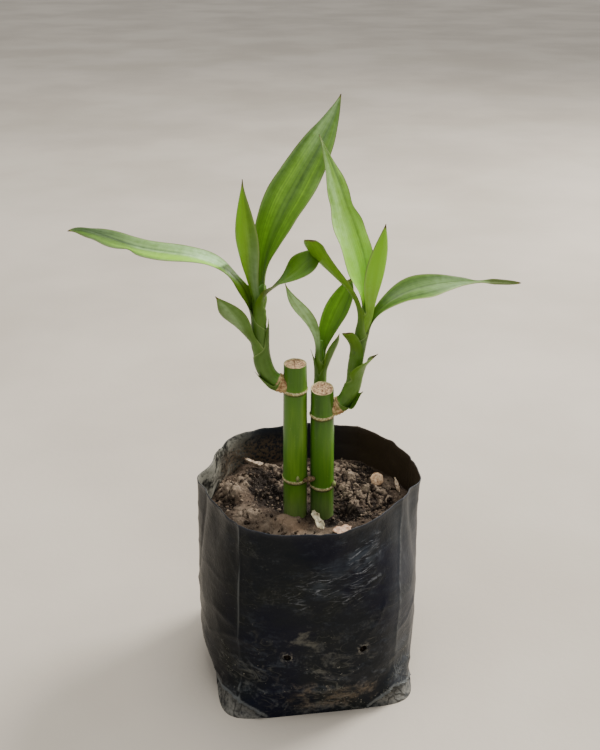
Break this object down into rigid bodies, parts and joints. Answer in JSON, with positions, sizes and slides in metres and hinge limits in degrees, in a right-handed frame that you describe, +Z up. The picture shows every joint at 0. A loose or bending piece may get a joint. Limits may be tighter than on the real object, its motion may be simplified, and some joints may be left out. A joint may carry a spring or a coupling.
{
  "type": "potted lucky bamboo",
  "caption": "Lucky bamboo in a black film grow bag filled with soil: short upright cut canes with curving side shoots and long pointed leaves.",
  "frame": {"origin": "middle of the grow bag's flat underside, which rests on the floor", "axes": "+Z up along the canes, -Y towards the front of the bag as pictured, +X to its right, where the shorter cane stands"},
  "size_m": [0.1882, 0.0963, 0.2595],
  "materials": {
    "film": "black polythene film, a little shiny, dusty and scuffed",
    "soil": "dry grey-brown potting soil with dark crumbs",
    "bit": "pale dry chips and roots",
    "cane": "smooth waxy green skin with tan rings, and a tan fibrous cut top",
    "shoot": "smooth green leaf sheaths",
    "leaf": "satin green blade with fine stripes along it and brown tips"
  },
  "bodies": {
    "root": {"grow_bag": "film", "soil": "soil", "bit_curled_chip": "bit", "bit_flat_chip": "bit", "bit_round_chip": "bit", "bit_root": "bit", "bit_stick": "bit", "cane_left": "cane", "cane_right": "cane", "shoot_left": "shoot", "shoot_middle": "shoot", "shoot_right": "shoot", "leaf_left_tall": "leaf", "leaf_left_young": "leaf", "leaf_left_long": "leaf", "leaf_left_crossing": "leaf", "leaf_left_lower": "leaf", "leaf_left_small": "leaf", "leaf_left_bract": "leaf", "leaf_middle_tall": "leaf", "leaf_middle_left": "leaf", "leaf_middle_right": "leaf", "leaf_middle_bract": "leaf", "leaf_right_tall": "leaf", "leaf_right_young": "leaf", "leaf_right_long": "leaf", "leaf_right_narrow": "leaf", "leaf_right_cut": "leaf", "leaf_right_lower": "leaf", "leaf_right_bract": "leaf"}
  },
  "joints": []
}
